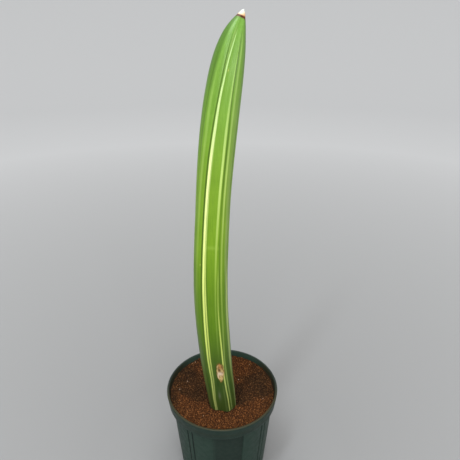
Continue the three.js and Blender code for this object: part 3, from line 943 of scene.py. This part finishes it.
def scatter(spacing, spread, size_low, size_high):
    """Places and sizes of granules on a shaken grid of triangles, clear of the leaf and the wall."""
    reach = 57.0
    rows = np.arange(-reach, reach, spacing * 0.866)
    places = []
    for i, y in enumerate(rows):
        xs = np.arange(-reach + spacing / 2 * (i % 2), reach, spacing)
        places.append(np.stack([xs, np.full(len(xs), y)], 1))
    places = np.concatenate(places)
    places = places + draw.uniform(-spread, spread, places.shape) * spacing
    sizes = size_low + (size_high - size_low) * draw.random(len(places)) ** 1.7
    middle, bearing, distance = leaf_outline()
    off = places - middle
    leaf_there = np.interp(np.arctan2(off[:, 1], off[:, 0]), bearing, distance, period=2 * np.pi)
    clear = np.hypot(off[:, 0], off[:, 1]) > leaf_there + sizes * 0.52 + 0.2
    wall = cavity_profile(0.1, SOIL_HEIGHT + SOIL_RISE[0])[0][0]
    clear &= np.hypot(places[:, 0], places[:, 1]) < wall - sizes * 0.55
    return places[clear], sizes[clear]


def random_turns(count):
    """Matrices that turn each lump its own way."""
    turns = draw.normal(size=(count, 4))
    turns /= np.linalg.norm(turns, axis=1, keepdims=True)
    w, x, y, z = turns.T
    return np.stack([
        np.stack([1 - 2 * (y * y + z * z), 2 * (x * y - z * w), 2 * (x * z + y * w)], -1),
        np.stack([2 * (x * y + z * w), 1 - 2 * (x * x + z * z), 2 * (y * z - x * w)], -1),
        np.stack([2 * (x * z - y * w), 2 * (y * z + x * w), 1 - 2 * (x * x + y * y)], -1),
    ], 1)


def granules(name, seed, places, sizes, lift, material, flat=False, shade_share=1):
    """One piece made of many separate lumps, each turned, squashed and dented in its own way. Lift
    is how far each one stands above the bed, as a share of its size, and the last argument is how
    much of the soil's darker patches and painted shade it takes."""
    form, triangles = seed
    count = len(places)
    x, y = places.T
    dents = 1 + GRANULE_DENTS * (draw.random((count, len(form), 1)) - 0.5)
    squash = draw.uniform(*GRANULE_SQUASH, (count, 1, 3))
    lumps = np.einsum("nij,nkj->nki", random_turns(count), form[None] * dents * squash)
    shake = draw.uniform(-GRANULE_SHAKE, GRANULE_SHAKE, count)
    heights = soil_surface(x, y) + sizes * lift + shake
    lumps = lumps * sizes[:, None, None] + np.column_stack([places, heights])[:, None]
    faces = (triangles[None] + len(form) * np.arange(count)[:, None, None]).reshape(-1, 3)
    tone = np.repeat(draw.random(count), len(form))
    patches_and_shade = np.repeat(shade_share * soil_patches_and_shade(x, y), len(form))
    piece = make_piece(name, lumps.reshape(-1, 3), faces, material, {"tone": tone, "patches_and_shade": patches_and_shade}, flat)
    settle(piece, "soil")


def soil_pieces():
    soil_bed()
    small, large = ball(1), ball(2)
    places, sizes = scatter(spacing=1.25, spread=0.42, size_low=0.9, size_high=1.7)
    brown = soil_look("soil_brown", (0.05, 0.016, 0.004), (0.158, 0.0565, 0.015), (0.065, 0.022, 0.005))
    granules("soil_granules", small, places, sizes, 0.1, brown, flat=True)
    places, sizes = scatter(spacing=2.5, spread=0.48, size_low=1.1, size_high=2.0)
    rust = soil_look("soil_rust", (0.065, 0.022, 0.006), (0.238, 0.088, 0.0255), (0.11, 0.038, 0.009))
    granules("soil_granules_top", large, places, sizes, 0.25, rust)
    pale = soil_look("soil_pale", (0.3, 0.18, 0.11), (0.66, 0.47, 0.33), (0.4, 0.26, 0.165))
    granules("soil_granules_pale", large, PALE_GRANULES[:, :2], PALE_GRANULES[:, 2], 0.6, pale, shade_share=0)


# Stage, lights and camera

def build_stage():
    """A pale round studio bowl: a floor that curves up into a wall far away. Its soft glow grows with
    the distance from the pot, from the nearest to the furthest place in metres."""
    floor_radius, floor_height, bend, top = 2200.0, -0.1, 700.0, 2600.0
    look = Look("stage_grey", Roughness=0.9, Specular_IOR_Level=0.1)
    away = look.node("ShaderNodeVectorMath", operation="LENGTH")
    look.put(away.inputs[0], look.place)
    nearest, furthest = 0.15, 1.4
    glow = look.span(away.outputs["Value"], nearest, furthest, high=0.36, curve="LINEAR")
    look.put(look.shader.inputs["Base Color"], (0.25, 0.25, 0.249))
    look.put(look.shader.inputs["Emission Color"], (0.97, 0.985, 1))
    look.put(look.shader.inputs["Emission Strength"], glow)
    profile = [(radius, floor_height) for radius in (200.0, 600, 1000)]
    profile += arc((floor_radius, bend + floor_height), bend, -90, 0, 14)
    profile.append((floor_radius + bend, top))
    angles = np.linspace(0, 360, 96, endpoint=False)
    count = len(angles)
    points = np.concatenate([[[0, 0, floor_height]], *[around(angles, r, z) for r, z in profile]])
    faces = [(0, 1 + (i + 1) % count, 1 + i) for i in range(count)]
    for k in range(len(profile) - 1):
        low, high = 1 + k * count, 1 + (k + 1) * count
        for i in range(count):
            after = (i + 1) % count
            faces.append((low + i, low + after, high + after, high + i))
    make_piece("studio_bowl", points, faces, look.material)


def softbox(name, place, aim, width, height, power, colour=(1, 1, 1)):
    """A rectangular light, in metres and watts, that doesn't show in the picture itself."""
    data = bpy.data.lights.new(name, "AREA")
    data.shape, data.size, data.size_y = "RECTANGLE", width, height
    data.energy, data.color = power, colour
    light = bpy.data.objects.new(name, data)
    bpy.context.scene.collection.objects.link(light)
    light.location = place
    light.rotation_euler = (Vector(aim) - Vector(place)).to_track_quat("-Z", "Y").to_euler()
    light.visible_camera = False


def build_lights():
    world = bpy.data.worlds.new("soft_world")
    bpy.context.scene.world = world
    world.use_nodes = True
    sky = world.node_tree.nodes["Background"]
    sky.inputs["Color"].default_value = (0.98, 0.99, 1, 1)
    sky.inputs["Strength"].default_value = 0.6
    softbox("front", place=(0.1, -1.1, 1.0), aim=(0, 0, 0.4), width=0.9, height=0.6, power=10)
    softbox("top", place=(0, 0.1, 1.6), aim=(0, 0, 0.3), width=1.0, height=1.0, power=7)
    softbox("ceiling_strip", (-0.3, -0.5, 1.5), (0, 0, 0.46), 0.1, 0.8, power=8, colour=(0.9, 0.96, 1))
    softbox("ceiling", place=(0, 0, 2.5), aim=(0, 0, 0), width=3.0, height=3.0, power=30)


def build_camera():
    data = bpy.data.cameras.new("camera")
    data.sensor_width = SENSOR_WIDTH
    data.lens = SENSOR_WIDTH * FOCAL_LENGTH / PHOTO_WIDTH
    camera = bpy.data.objects.new("camera", data)
    camera.location = [length * MM for length in CAMERA_PLACE]
    camera.rotation_euler = (math.pi / 2 - CAMERA_PITCH, 0, 0)
    bpy.context.scene.collection.objects.link(camera)
    bpy.context.scene.camera = camera
    bpy.context.scene.view_settings.view_transform = "Standard"


build_camera()
build_stage()
build_lights()
pot_piece()
leaf_piece()
soil_pieces()
